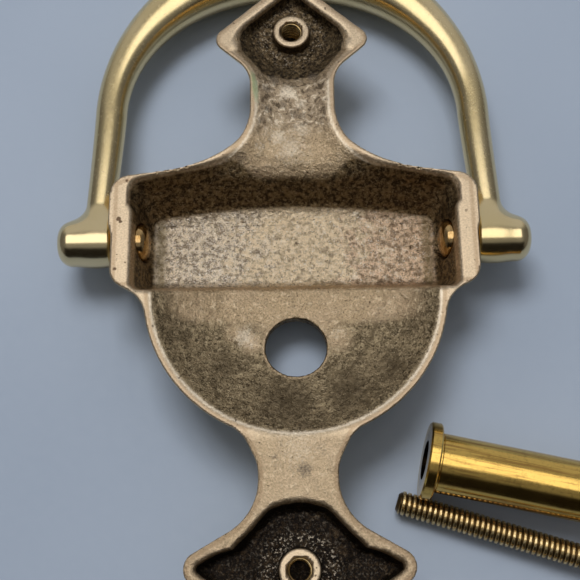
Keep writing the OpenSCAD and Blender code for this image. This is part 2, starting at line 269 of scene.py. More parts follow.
def ridges(ring):
    """Depth of the tool's rings on a hollow's floor, at distance ring from its boss."""
    return RIDGE_RELIEF * np.sin(2 * math.pi * ring / RIDGE_STEP) * (ring < RIDGE_REACH)


UPPER, LOWER = path_parts(UPPER_PATH), path_parts(LOWER_PATH)


def plate_cavities(x, y, h):
    """Fields of the hollows behind the plate at depth h: pocket, bowl, trough and both finial hollows."""
    upper, lower = path_field(UPPER, x, y), path_field(LOWER, x, y)
    rough = WIDE_RELIEF * waves(WIDE_WAVES, x, y) + GRAIN_RELIEF * waves(GRAIN_WAVES, x, y)
    across = np.abs(x)
    arch = POCKET_ARCH * (1 - (across / POCKET_ARCH_HALF_W) ** 2)
    mouth = np.minimum(draft(upper, -SHOULDER_RIM, h, SHOULDER_DRAFT), y - (BOX_Y1 - SHOULDER_REACH))
    side = draft(across, POCKET_HALF_W, h, POCKET_DRAFT)
    pocket = round_max(side, draft(-y, -SHIELD_Y, h, POCKET_DRAFT), POCKET_CORNER_R)
    pocket = round_max(pocket, draft(y, POCKET_TOP_Y + arch, h, POCKET_TOP_DRAFT), POCKET_TOP_R)
    pocket = round_max(pocket, h - POCKET_T - rough, POCKET_FLOOR_R)
    pocket = round_max(pocket, mouth, POCKET_MOUTH_R)
    rho = np.hypot(x, y - SHIELD_Y)
    depth, steep = dish(rho, BOWL_T, BOWL_R)
    bowl = (h - depth - 1.3 * rough * (rho < BOWL_R - 1)) / steep
    trough = draft(upper, -TROUGH_RIM, h, TROUGH_DRAFT)
    trough = round_max(trough, h - TROUGH_T - 2 * rough, TROUGH_FLOOR_R)
    trough = round_max(trough, side, TROUGH_SIDE_R)
    trough = np.maximum(trough, np.maximum(TROUGH_Y0 - y, y - TROUGH_Y1))
    from_upper, from_lower = np.hypot(x, y - UPPER_BOSS_Y), np.hypot(x, y - LOWER_BOSS_Y)
    end = draft(from_upper - UPPER_HOLLOW_R, 0, h, UPPER_HOLLOW_END_DRAFT)
    upper_hollow = round_max(draft(upper, -UPPER_HOLLOW_RIM, h, HOLLOW_DRAFT), end, HOLLOW_CORNER_R)
    floor = h - HOLLOW_T - 2 * rough - ridges(from_upper)
    upper_hollow = round_max(upper_hollow, floor, HOLLOW_FLOOR_R)
    ring = np.hypot(x, y - LOWER_BOSS_Y + LOWER_HOLLOW_DROP)
    end = draft(ring - LOWER_HOLLOW_R, 0, h, LOWER_HOLLOW_END_DRAFT)
    end = np.minimum(end, y - LOWER_BOSS_Y - LOWER_HOLLOW_REACH)
    lower_hollow = round_max(draft(lower, -LOWER_HOLLOW_RIM, h, HOLLOW_DRAFT), end, HOLLOW_CORNER_R)
    floor = h - HOLLOW_T - 2 * rough - ridges(from_lower)
    lower_hollow = round_max(lower_hollow, floor, HOLLOW_FLOOR_R)
    return pocket, bowl, trough, upper_hollow, lower_hollow


def plate_solid(x, y, z):
    """The plate before its hollows: box with tablet, both necks with finials, shield and studs."""
    h = -z
    upper, lower = path_field(UPPER, x, y), path_field(LOWER, x, y)
    side = draft(np.abs(x), BOX_HALF_W, h, BOX_SIDE_LEAN)
    ends = np.maximum(draft(y, BOX_Y1, h, BOX_SIDE_LEAN), draft(-y, -BOX_Y0, h, BOX_FOOT_LEAN))
    box = round_max(side, ends, BOX_CORNER_R)
    bevel = math.radians(TABLET_BEVEL)
    inward = np.maximum(side, ends) + TABLET_MARGIN
    tablet = inward * math.cos(bevel) + (h - BOX_T) * math.sin(bevel)
    tablet = np.maximum(round_max(tablet, h - PLATE_T, TABLET_EDGE_R), box)
    solid = round_min(round_max(box, h - BOX_T, BOX_FRONT_R), tablet, TABLET_FILLET_R)
    rho = np.hypot(x, y - SHIELD_Y)
    front, steep = dish(rho, BOWL_T, SHIELD_R)
    shield = draft(rho, SHIELD_R, h, SHIELD_LEAN)
    shield = round_max(shield, (h - front - SHIELD_WALL) / steep, SHIELD_EDGE_R)
    upper_neck = round_max(draft(upper, 0, h, NECK_LEAN), h - NECK_T, NECK_FRONT_R)
    lower_neck = round_max(draft(lower, 0, h, NECK_LEAN), h - NECK_T, NECK_FRONT_R)
    solid = round_min(solid, upper_neck, UPPER_NECK_FILLET_R)
    solid = round_min(solid, shield, SHIELD_FILLET_R)
    solid = round_min(solid, lower_neck, LOWER_NECK_FILLET_R)
    for boss_y in (UPPER_BOSS_Y, LOWER_BOSS_Y):
        stud = round_max(np.hypot(x, y - boss_y) - STUD_R, h - STUD_T, STUD_EDGE_R)
        solid = round_min(solid, np.maximum(stud, BOSS_FOOT_T - h), STUD_FILLET_R)
    return round_max(solid, z, EDGE_R)


def plate_field(x, y, z):
    """Signed distance from the cast plate."""
    h = -z
    pocket, bowl, trough, upper_hollow, lower_hollow = plate_cavities(x, y, h)
    hollow = round_min(pocket, bowl, BOWL_JOIN_R)
    hollow = round_min(hollow, trough, TROUGH_JOIN_R)
    hollow = round_min(hollow, upper_hollow, UPPER_HOLLOW_JOIN_R)
    hollow = round_min(hollow, lower_hollow, LOWER_HOLLOW_JOIN_R)
    part = round_max(plate_solid(x, y, z), -hollow, INNER_EDGE_R)
    for boss_y in (UPPER_BOSS_Y, LOWER_BOSS_Y):
        ring = np.hypot(x, y - boss_y)
        boss = np.maximum(round_max(ring - BOSS_R, BOSS_DROP - h, BOSS_EDGE_R), h - BOSS_FOOT_T)
        part = round_min(part, boss, BOSS_FILLET_R)
        tap = np.maximum(ring - TAP_R - TAP_SLEEVE_GAP, h - TAP_T)
        mouth = ring - TAP_MOUTH_R + np.maximum(h - BOSS_DROP - TAP_MOUTH_T, 0)
        part = round_max(part, -np.minimum(tap, mouth), TAP_EDGE_R)
    part = round_max(part, HOLE_R - np.hypot(x, y), HOLE_EDGE_R)
    bore = np.hypot(y - PIVOT[1], z - PIVOT[2]) - PIN_BORE_R
    return round_max(part, -np.maximum(bore, PIN_BORE_X - np.abs(x)), PIN_BORE_EDGE_R)


def bail_field(x, y, z):
    """Signed distance from the bail in its own plane, whose origin is the middle of the pivot axis."""
    x = np.abs(x)
    rise = GRIP_REACH - BOW_REACH
    angle = np.arctan2(np.maximum(y - BOW_REACH, 0) / rise, np.maximum(x, 0) / BOW_X)
    ca, sa = np.cos(angle), np.sin(angle)
    nx, ny = ca / BOW_X, sa / rise
    length = np.hypot(nx, ny)
    bow_side = ((x - BOW_X * ca) * nx + (y - BOW_REACH - rise * sa) * ny) / length
    down = np.clip(1 - y / BOW_REACH, 0, 1)
    leg_side = np.hypot(x - BOW_X - LEG_FLARE * down ** 1.2, np.minimum(y, 0))
    bow = y > BOW_REACH
    side = np.where(bow, bow_side, leg_side)
    swell = sa ** SWELL
    leg_r = BOW_R + (LEG_R - BOW_R) * down
    w = np.where(bow, BOW_R + (GRIP_W - BOW_R) * swell, leg_r)
    t = np.where(bow, BOW_R + (GRIP_T - BOW_R) * swell, leg_r)
    k0 = np.hypot(side / w, z / t)
    k1 = np.hypot(side / w ** 2, z / t ** 2) + 1e-6
    bar = k0 * (k0 - 1) / k1
    around = np.hypot(y, z) - KNOB_R
    knob = round_max(round_max(around, x - KNOB_HALF_W, KNOB_END_R), KNOB_INNER - x, KNOB_EDGE_R)
    return round_min(bar, knob, KNOB_FILLET_R)


# ---------------------------------------------------------------- meshing
def gradient(field, p, step=0.02):
    """Gradient of a field at points p."""
    g = np.empty_like(p)
    for axis in range(3):
        d = np.zeros(3)
        d[axis] = step
        g[:, axis] = field(*(p + d).T) - field(*(p - d).T)
    return g / (2 * step)


def surface_net(field, lo, hi, cell):
    """Points, faces and normals of a field's zero surface: a point in each grid cell that it crosses."""
    lo, hi = np.array(lo, float), np.array(hi, float)
    count = np.ceil((hi - lo) / cell).astype(int) + 1
    axes = [lo[k] + cell * np.arange(count[k]) for k in range(3)]
    values = field(axes[0][:, None, None], axes[1][None, :, None], axes[2][None, None, :])
    values = np.ascontiguousarray(np.broadcast_to(values, count))
    inside = values < 0
    corners = [(i, j, k) for i in (0, 1) for j in (0, 1) for k in (0, 1)]
    total = np.zeros(count - 1, np.int8)
    for i, j, k in corners:
        total += inside[i:count[0] - 1 + i, j:count[1] - 1 + j, k:count[2] - 1 + k]
    mixed = (total > 0) & (total < 8)
    cells = np.argwhere(mixed)
    index = np.full(count - 1, -1, np.int64)
    index[mixed] = np.arange(len(cells))
    place, hits = np.zeros((len(cells), 3)), np.zeros(len(cells))
    for a in corners:
        for axis in range(3):
            if a[axis]:
                continue
            b = tuple(1 if k == axis else a[k] for k in range(3))
            fa = values[tuple((cells + a).T)]
            fb = values[tuple((cells + b).T)]
            crossed = (fa < 0) != (fb < 0)
            t = np.where(crossed, fa / np.where(crossed, fa - fb, 1), 0)
            point = np.repeat(np.array([a], float), len(cells), 0)
            point[:, axis] = t
            place += point * crossed[:, None]
            hits += crossed
    points = lo + cell * (cells + place / hits[:, None])
    quads = []
    for axis in range(3):
        u, v = np.eye(3, dtype=int)[[(axis + 1) % 3, (axis + 2) % 3]]
        here = [slice(None)] * 3
        there = [slice(None)] * 3
        here[axis], there[axis] = slice(None, -1), slice(1, None)
        a, b = inside[tuple(here)], inside[tuple(there)]
        edges = np.argwhere(a != b)
        last = count - 2
        at_u, at_v = edges @ u, edges @ v
        edges = edges[(at_u > 0) & (at_v > 0) & (at_u <= last @ u) & (at_v <= last @ v)]
        ring = [index[tuple((edges - o).T)] for o in (0 * u, u, u + v, v)]
        quad = np.stack(ring, 1)
        flip = a[tuple(edges.T)]
        quad[~flip] = quad[~flip][:, ::-1]
        quads.append(quad)
    for _ in range(3):
        g = gradient(field, points)
        move = (field(*points.T) / np.maximum((g ** 2).sum(1), 0.2))[:, None] * g
        size = np.linalg.norm(move, axis=1, keepdims=True)
        points = points - move * np.minimum(1, cell / np.maximum(size, 1e-9))
    g = gradient(field, points)
    normals = g / np.maximum(np.linalg.norm(g, axis=1, keepdims=True), 1e-9)
    return points, np.concatenate(quads).tolist(), normals


def linked(name, data):
    """A new object in the scene."""
    thing = bpy.data.objects.new(name, data)
    bpy.context.scene.collection.objects.link(thing)
    return thing


def new_piece(name, points, faces, material, normals=None, smooth_degrees=None):
    """A mesh object in metres from points in mm."""
    mesh = bpy.data.meshes.new(name)
    mesh.from_pydata((points * MM).tolist(), [], faces)
    mesh.validate()
    mesh.polygons.foreach_set("use_smooth", [True] * len(mesh.polygons))
    if smooth_degrees is not None:
        mesh.set_sharp_from_angle(angle=math.radians(smooth_degrees))
    if normals is not None:
        mesh.normals_split_custom_set_from_vertices(normals.tolist())
    mesh.materials.append(material)
    return linked(name, mesh)


def place_piece(piece, body, slot, *nodes):
    """The piece rides on a body and stands for CAD nodes, which are hidden. The slot argument is not used."""
    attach(piece, body)
    if nodes:
        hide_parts(*nodes)


def paint(piece, **masks):
    """Stores one number per vertex under each name, for the material to read."""
    for name, values in masks.items():
        attribute = piece.data.attributes.new(name, "FLOAT", "POINT")
        attribute.data.foreach_set("value", np.asarray(values, np.float32))


def turned(profile, sides=96, closed=True, radius_at=None):
    """Points and faces of a solid of revolution about X, from a profile of (along, radius). A closed profile
    is a loop that makes a ring, and an open one is capped. radius_at(along, angle, radius) may cut a
    thread."""
    line = np.array(profile, float)
    n = len(line)
    angles = (2 * math.pi * np.arange(sides) / sides)[:, None]
    along, radius = np.repeat(line[None, :, 0], sides, 0), np.repeat(line[None, :, 1], sides, 0)
    if radius_at is not None:
        radius = radius_at(along, angles, radius)
    points = np.stack([along, radius * np.cos(angles), radius * np.sin(angles)], -1).reshape(-1, 3)
    k, j = np.meshgrid(np.arange(sides), np.arange(n if closed else n - 1), indexing="ij")
    k2, j2 = (k + 1) % sides, (j + 1) % n
    faces = np.stack([k * n + j, k * n + j2, k2 * n + j2, k2 * n + j], -1).reshape(-1, 4).tolist()
    if not closed:
        faces += [[k * n for k in range(sides)][::-1], [k * n + n - 1 for k in range(sides)]]
    return points, faces


def softened(profile, r):
    """The same closed or open profile with each corner cut by a small chamfer of size r."""
    p = [np.array(q, float) for q in profile]
    out = [p[0]]
    for a, b, c in zip(p, p[1:], p[2:]):
        back, ahead = a - b, c - b
        cut = min(r, np.linalg.norm(back) / 3, np.linalg.norm(ahead) / 3)
        out += [b + back / np.linalg.norm(back) * cut, b + ahead / np.linalg.norm(ahead) * cut]
    return out + [p[-1]]


def laid(points, start, turn, tilt=0.0):
    """Points drawn along +X, moved so that they lie from start in the direction turn and tilt downward by
    tilt, both in degrees."""
    rotation = Matrix.Rotation(math.radians(turn), 3, "Z") @ Matrix.Rotation(math.radians(tilt), 3, "Y")
    return points @ np.array(rotation).T + np.array(start, float)


def thread_wave(pitch, along, angle, slope, share):
    """Height of a helical thread, 0 in its root and 1 on its crest."""
    phase = (along / pitch - angle / (2 * math.pi)) % 1.0
    return np.clip(np.abs(phase * 2 - 1) * slope - share, 0, 1)


def thread(pitch, root, crest, start, end, runout):
    """A function that cuts a helical thread between start and end along the axis."""
    def radius_at(along, angle, radius):
        wave = thread_wave(pitch, along, angle, 2.8, 0.45)
        fade = np.clip((along - start) / runout, 0, 1) * np.clip((end - along) / runout, 0, 1)
        cut = np.minimum(crest, root + (crest - root) * wave) * fade + crest * (1 - fade)
        return np.minimum(radius, np.where((along >= start) & (along <= end), cut, radius))
    return radius_at


# ---------------------------------------------------------------- materials
class Graph:
    """A node tree, with one method per kind of node that it needs."""

    def __init__(self, tree, coordinates):
        self.tree = tree
        self.tree.nodes.clear()
        self.where = self.tree.nodes.new("ShaderNodeTexCoord").outputs[coordinates]

    def feed(self, socket, value):
        """Links a socket to value, or sets it where value is a plain number or colour."""
        if isinstance(value, bpy.types.NodeSocket):
            self.tree.links.new(value, socket)
        elif isinstance(value, (tuple, list)) and len(value) == 3 and socket.type == "RGBA":
            socket.default_value = (*value, 1)
        else:
            socket.default_value = value

    def node(self, kind, inputs, **settings):
        """A new node with its settings, and inputs by socket name or number."""
        node = self.tree.nodes.new("ShaderNode" + kind)
        for name, value in settings.items():
            setattr(node, name, value)
        for key, value in inputs.items():
            self.feed(node.inputs[key], value)
        return node

    def math(self, operation, a, b=0.0):
        return self.node("Math", {0: a, 1: b}, operation=operation).outputs[0]

    def turned(self, degrees):
        """Coordinates in mm, turned back about Z."""
        inputs = {"Vector": self.mm, "Angle": -math.radians(degrees)}
        return self.node("VectorRotate", inputs, rotation_type="Z_AXIS").outputs["Vector"]

    def stretched(self, where, factors):
        return self.node("VectorMath", {0: where, 1: factors}, operation="MULTIPLY").outputs["Vector"]

    def times(self, a, b):
        return self.math("MULTIPLY", a, b)

    def plus(self, a, b):
        return self.math("ADD", a, b)

    def swing(self, value, amount):
        """A noise turned into an offset of up to half the amount either way."""
        return self.times(self.math("SUBTRACT", value, 0.5), amount)

    def inverse(self, value):
        return self.math("SUBTRACT", 1.0, value)

    def noise(self, scale, detail, rough, where=None, distort=0.0):
        """Noise with about `scale` features to the millimetre, from 0 to 1."""
        inputs = {"Vector": self.mm if where is None else where, "Scale": scale, "Detail": detail,
                  "Roughness": rough, "Distortion": distort}
        return self.node("TexNoise", inputs).outputs["Fac"]

    def band(self, value, low, high, to_low=0.0, to_high=1.0):
        """Value from low to high, mapped smoothly and clamped."""
        inputs = {"Value": value, "From Min": low, "From Max": high, "To Min": to_low, "To Max": to_high}
        return self.node("MapRange", inputs, interpolation_type="SMOOTHSTEP").outputs["Result"]

    def mix(self, share, a, b):
        """Colour a where share is 0, b where it is 1."""
        return self.node("Mix", {"Factor": share, 6: a, 7: b}, data_type="RGBA").outputs[2]

    def layered(self, base, *layers):
        """Base with colours laid over it in turn: each layer is (source, low, high, amount, colour), and it
        covers up to amount of what is below where source goes from low to high."""
        for source, low, high, amount, colour in layers:
            base = self.mix(self.band(source, low, high, 0, amount), base, colour)
        return base

    def blend(self, share, a, b):
        """Number a where share is 0, b where it is 1."""
        return self.node("Mix", {"Factor": share, 2: a, 3: b}).outputs[0]

    def apart(self, value):
        """The three coordinates of a vector."""
        return self.node("SeparateXYZ", {0: value}).outputs


class Shader(Graph):
    """The node tree of a material."""

    def __init__(self, name):
        self.material = bpy.data.materials.new(name)
        self.material.use_nodes = True
        super().__init__(self.material.node_tree, "Object")
        out = self.tree.nodes.new("ShaderNodeOutputMaterial")
        self.surface = self.tree.nodes.new("ShaderNodeBsdfPrincipled")
        self.tree.links.new(self.surface.outputs["BSDF"], out.inputs["Surface"])
        in_mm = self.node("VectorMath", {0: self.where, "Scale": 1 / MM}, operation="SCALE")
        self.mm = in_mm.outputs["Vector"]

    def mask(self, name):
        """Numbers that were painted on the mesh."""
        return self.node("Attribute", {}, attribute_name=name).outputs["Fac"]

    def bump(self, height, depth_mm, strength=1.0, under=None):
        """Normals for a height map whose 0 to 1 is depth_mm."""
        inputs = {"Height": height, "Distance": depth_mm * MM, "Strength": strength}
        if under is not None:
            inputs["Normal"] = under
        return self.node("Bump", inputs).outputs["Normal"]

    def set(self, **inputs):
        for name, value in inputs.items():
            self.feed(self.surface.inputs[name.replace("_", " ")], value)
        return self.material


class CastBrass(Shader):
    """As-cast brass: ground satin rims, a speckled pocket, an olive bowl, dark finial hollows and a
    lacquered front."""

    def __init__(self):
        super().__init__("cast_brass")
        self.fine = self.noise(2.6, 4, 0.7)
        self.grain = self.noise(3.4, 3, 0.6)
        self.lumps = self.noise(1.0, 4, 0.65)
        self.blotch = self.noise(0.42, 4, 0.6)
        self.wide = self.noise(0.11, 3, 0.5)
        self.speck = self.noise(1.7, 5, 0.75)
        self.mottle = self.noise(0.75, 5, 0.62, distort=0.6)

    def ragged(self, name, amount, low, high, to_high=1.0):
        """A mask whose edge is broken up by the specks."""
        return self.band(self.plus(self.mask(name), self.swing(self.speck, amount)), low, high, 0, to_high)

    def skin(self):
        """Tan skin of the walls and necks, with painted highlights on its lumps and broad tone, mottled with
        dirt and painted sheen on the upper neck.
        """
        dirt = self.plus(self.times(self.blotch, 0.6), self.times(self.speck, 0.4))
        # The lumps, which the bump raises, and the broad tone are painted lighter: painted highlights
        tan = self.layered((0.46, 0.335, 0.20),
                           (self.fine, 0.38, 0.62, 1, (0.72, 0.54, 0.335)),
                           (self.wide, 0.4, 0.65, 0.35, (0.76, 0.57, 0.38)),
                           (self.lumps, 0.54, 0.66, 0.7, (0.98, 0.79, 0.54)))
        tan = self.mix(self.times(self.band(dirt, 0.50, 0.64), 0.35), tan, (0.13, 0.09, 0.055))
        # Upper neck: dark dirt with a bright mottle of painted sheen
        mottled = self.layered((0.10, 0.072, 0.048),
                               (self.mottle, 0.36, 0.50, 1, (0.52, 0.40, 0.27)),
                               (self.mottle, 0.52, 0.64, 1, (1.0, 0.86, 0.66)))
        return self.mix(self.times(self.mask("grime"), 0.85), tan, mottled)

    def pocket_floor(self):
        """Floor of the pocket: pinkish on the left, tan in the middle, brown on the right, with specks, and
        painted shade along its edges by the walls.
        """
        middle = self.layered((0.54, 0.42, 0.27),
                              (self.lumps, 0.36, 0.56, 1, (0.88, 0.70, 0.47)),
                              (self.grain, 0.37, 0.30, 0.5, (0.19, 0.145, 0.095)))
        left = self.layered((0.33, 0.26, 0.18),
                            (self.lumps, 0.40, 0.58, 1, (0.88, 0.73, 0.53)),
                            (self.grain, 0.53, 0.63, 0.75, (0.98, 0.86, 0.76)),
                            (self.grain, 0.42, 0.34, 0.6, (0.13, 0.105, 0.08)))
        right = self.layered((0.30, 0.205, 0.125),
                             (self.lumps, 0.38, 0.58, 1, (0.80, 0.58, 0.39)),
                             (self.grain, 0.57, 0.66, 0.6, (0.92, 0.74, 0.58)),
                             (self.grain, 0.42, 0.34, 0.6, (0.12, 0.085, 0.06)))
        drift = self.plus(self.apart(self.mm)["X"], self.band(self.blotch, 0.3, 0.7, -7.0, 7.0))
        colour = self.layered(left, (drift, -16.0, -4.0, 1, middle), (drift, 8.0, 20.0, 1, right),
                              (self.speck, 0.42, 0.36, 0.75, (0.085, 0.062, 0.042)),
                              (self.mottle, 0.46, 0.36, 0.55, (0.20, 0.145, 0.095)),
                              (self.mottle, 0.54, 0.66, 0.5, (0.95, 0.82, 0.66)),
                              (self.noise(2.6, 3, 0.6), 0.60, 0.70, 0.85, (1.0, 0.95, 0.86)))
        # Painted shade along the floor's edges, where it meets the walls
        return self.mix(self.ragged("border", 2.2, 0.2, 1.3, 0.8), colour, (0.19, 0.14, 0.06))

    def bowl_skin(self):
        """Olive brown of the bowl with painted highlights on its lumps and grain, darker in patches and along
        a painted crease shade.
        """
        # Lumps and grain are painted lighter: painted highlights on the cast relief
        colour = self.layered((0.20, 0.152, 0.088),
                              (self.blotch, 0.34, 0.66, 1, (0.37, 0.285, 0.168)),
                              (self.lumps, 0.50, 0.62, 0.75, (0.56, 0.44, 0.27)),
                              (self.grain, 0.56, 0.65, 0.5, (0.72, 0.58, 0.38)),
                              (self.speck, 0.50, 0.40, 0.8, (0.060, 0.042, 0.024)))
        # Darker in patches, and along a painted crease shade
        return self.mix(self.ragged("gloom", 1.3, 0.30, 0.95, 0.72), colour, (0.055, 0.036, 0.020))

    def hollow_skin(self):
        """Soot in the finial hollows, with painted glints around the bosses."""
        colour = self.layered((0.007, 0.004, 0.002),
                              (self.fine, 0.42, 0.62, 1, (0.060, 0.036, 0.016)),
                              (self.blotch, 0.52, 0.66, 0.5, (0.13, 0.082, 0.040)),
                              (self.speck, 0.54, 0.48, 0.85, (0.005, 0.003, 0.002)))
        # Painted glints: bright specks of colour that stand for highlights, most of them around the bosses
        glint = self.band(self.noise(1.9, 4, 0.65), 0.55, 0.63)
        lustre = self.times(glint, self.blend(self.mask("lustre"), 0.10, 0.9))
        return self.mix(lustre, colour, (0.80, 0.68, 0.52))

    def shaded_wall(self):
        """Painted shade on the pocket's deep walls, the viewer hole's wall and the top of the upper hollow:
        dark umber, which on the pocket's top wall also stands for its dark patina.
        """
        return self.layered((0.035, 0.021, 0.009),
                            (self.lumps, 0.40, 0.62, 1, (0.30, 0.205, 0.10)),
                            (self.speck, 0.53, 0.62, 0.65, (0.56, 0.42, 0.24)))

    def wear(self, colour, pits, stained):
        """What lies over the zones: tarnish, painted highlights and polished patches, stains, scars and pits,
        and a green streak.
        """
        colour = self.mix(self.ragged("tarnish", 0.9, 0.1, 1.1, 0.55), colour, (0.34, 0.22, 0.125))
        # Painted highlights on the necks' lumps and along the rim edges, and polished patches beside the
        # viewer hole
        colour = self.mix(self.ragged("gleam", 2.2, 0.25, 1.1, 0.8), colour, (1.0, 0.87, 0.68))
        stain = self.layered((0.06, 0.045, 0.03), (self.fine, 0.4, 0.6, 1, (0.28, 0.22, 0.16)))
        colour = self.mix(self.times(stained, 0.75), colour, stain)
        scars = self.math("MAXIMUM", self.times(pits, 0.7), self.ragged("scar", 0.8, 0.45, 0.7, 0.9))
        colour = self.mix(scars, colour, (0.085, 0.045, 0.025))
        return self.mix(self.ragged("green", 1.2, 0.25, 0.8, 0.7), colour, (0.33, 0.43, 0.23))

    def finished(self):
        """The material, with every zone and its wear."""
        rim, front = self.mask("rim"), self.mask("front")
        in_bowl = self.times(self.mask("bowl"), self.inverse(self.ragged("worn", 0.5, 0.1, 0.9)))
        sooty = self.band(self.plus(self.mask("hollow"), self.swing(self.blotch, 0.9)), 0.35, 0.65)
        stained = self.ragged("stain", 2.0, 0.25, 1.0)
        pits = self.band(self.noise(1.15, 2, 0.5), 0.70, 0.76)
        satin = self.layered((0.60, 0.465, 0.31), (self.fine, 0.35, 0.68, 1, (0.82, 0.665, 0.475)))
        lacquer = self.layered((0.74, 0.56, 0.27), (self.wide, 0.3, 0.7, 1, (0.80, 0.63, 0.34)))

        colour = self.mix(self.mask("pocket"), self.skin(), self.pocket_floor())
        colour = self.mix(in_bowl, colour, self.bowl_skin())
        colour = self.mix(sooty, colour, self.hollow_skin())
        # Painted shade on the pocket's walls, the viewer hole's wall and the top of the upper hollow
        colour = self.mix(self.ragged("shade", 0.5, 0.25, 0.85, 0.95), colour, self.shaded_wall())
        colour = self.mix(self.times(rim, 0.8), colour, satin)
        colour = self.mix(front, self.wear(colour, pits, stained), lacquer)

        rough = self.blend(self.mask("bowl"), self.blend(rim, 0.34, 0.38), 0.33)
        rough = self.plus(rough, self.band(self.fine, 0.3, 0.7, -0.07, 0.09))
        rough = self.blend(front, rough, 0.2)
        dull = self.math("MAXIMUM", self.times(sooty, 0.4), self.times(stained, 0.5))
        relief = self.plus(self.times(self.fine, 0.5), self.times(self.lumps, 0.9))
        strength = self.times(self.blend(rim, 1.0, 0.25), self.blend(front, 1.0, 0.06))
        normal = self.bump(relief, 0.34, strength)
        normal = self.bump(self.times(pits, self.inverse(front)), -0.12, 0.8, normal)
        metal = self.blend(dull, 0.94, 0.45)
        return self.set(Base_Color=colour, Metallic=metal, Roughness=rough, Normal=normal)


def polished_brass():
    """Polished and lacquered brass, brightest on the knobs, with hairlines and a dull film in places."""
    s = Shader("polished_brass")
    knob = s.mask("knob")
    wide = s.noise(0.07, 3, 0.5)
    fine = s.noise(1.6, 3, 0.6)
    hair = s.noise(2.2, 3, 0.6, s.stretched(s.mm, (0.35, 0.35, 5.0)))
    colour = s.layered((0.76, 0.60, 0.31), (wide, 0.3, 0.7, 1, (0.82, 0.66, 0.38)),
                       (fine, 0.66, 0.80, 0.35, (0.50, 0.37, 0.17)))
    rough = s.plus(s.band(fine, 0.3, 0.7, 0.20, 0.25), s.band(hair, 0.45, 0.6, 0.0, 0.03))
    rough = s.times(rough, s.blend(knob, 1.0, 0.8))
    normal = s.bump(s.noise(0.25, 2, 0.5), 0.04, 0.25)
    return s.set(Base_Color=colour, Metallic=1.0, Roughness=rough, Normal=normal,
                 Coat_Weight=0.1, Coat_Roughness=0.15)


def turned_brass(name, marks_along, bright, turn=0.0):
    """Machined brass of a bright colour, with painted shade inside its bore. The tool marks are stretched by
    marks_along, in axes turned by turn degrees."""
    s = Shader(name)
    marks = s.noise(1.0, 4, 0.7, s.stretched(s.turned(turn), marks_along))
    wide = s.noise(0.16, 3, 0.6)
    fine = s.noise(1.1, 4, 0.7)
    colour = s.layered(bright, (wide, 0.35, 0.65, 1, [1.1 * c for c in bright]),
                       (fine, 0.50, 0.70, 0.5, [0.45 * c for c in bright]),
                       (marks, 0.48, 0.62, 0.7, (0.36, 0.185, 0.05)))
    # Painted shade inside the barrel's bore
    colour = s.mix(s.mask("recess"), colour, (0.05, 0.03, 0.012))
    rough = s.plus(s.band(marks, 0.3, 0.7, 0.12, 0.20), s.band(wide, 0.4, 0.7, 0.0, 0.05))
    normal = s.bump(marks, 0.015, 0.6)
    return s.set(Base_Color=colour, Metallic=1.0, Roughness=rough, Normal=normal)


def screw_brass():
    """Rolled thread of bright brass, with painted shade in its roots."""
    s = Shader("screw_brass")
    fine = s.noise(1.8, 4, 0.7)
    crest = s.mask("crest")
    bright = s.mix(s.band(fine, 0.35, 0.6), (0.88, 0.68, 0.36), (0.50, 0.34, 0.14))
    worn = s.band(s.plus(crest, s.swing(fine, 0.6)), 0.15, 0.75)
    # Painted shade: dark where the thread's roots lie, bright brass on its crests
    colour = s.mix(worn, (0.12, 0.075, 0.028), bright)
    return s.set(Base_Color=colour, Metallic=0.95, Roughness=s.blend(worn, 0.35, 0.22),
                 Normal=s.bump(fine, 0.04, 0.5))


def clear_glass():
    """Clear lens glass with a trace of dust on it."""
    s = Shader("clear_glass")
    dust = s.noise(1.5, 4, 0.7)
    return s.set(Base_Color=s.mix(s.band(dust, 0.6, 0.8), (0.95, 0.98, 0.98), (0.80, 0.84, 0.84)),
                 Roughness=s.band(dust, 0.6, 0.85, 0.02, 0.25), IOR=1.5, Transmission_Weight=1.0)


def table_top():
    """Smooth pale blue-grey table."""
    s = Shader("table_top")
    grain = s.noise(0.5, 4, 0.6)
    cloud = s.noise(0.012, 2, 0.5)
    colour = s.mix(s.band(cloud, 0.3, 0.7), (0.445, 0.520, 0.635), (0.485, 0.560, 0.675))
    return s.set(Base_Color=colour, Roughness=s.band(grain, 0.3, 0.7, 0.55, 0.66),
                 Normal=s.bump(grain, 0.03, 0.3))


# ---------------------------------------------------------------- the knocker
def near(value, width):
    """1 where value is 0, falling smoothly to 0 at width on either side."""
    t = np.clip(1 - np.abs(value) / width, 0, 1)
    return t * t * (3 - 2 * t)


def smooth(value, low, high):
    """0 where value is at low, rising smoothly to 1 at high. Low may be above high."""
    t = np.clip((value - low) / (high - low), 0, 1)
    return t * t * (3 - 2 * t)


def spots(x, y, places):
    """Soft round spots at places of (x, y, radius, strength)."""
    total = np.zeros_like(x)
    for px, py, radius, strength in places:
        total = np.maximum(total, strength * np.exp(-((x - px) ** 2 + (y - py) ** 2) / radius ** 2))
    return total


# Marks on the casting and painted highlights, each as (x, y, radius, strength)
WORN_SPOTS = [(-9, 1.2, 2.6, 1), (-12, 3.4, 3.0, 0.8), (8.5, 2, 3.4, 0.9), (-4, 7.0, 6, 0.9),
              (6, 7.0, 6, 0.9), (-24, 8, 4, 0.45)]
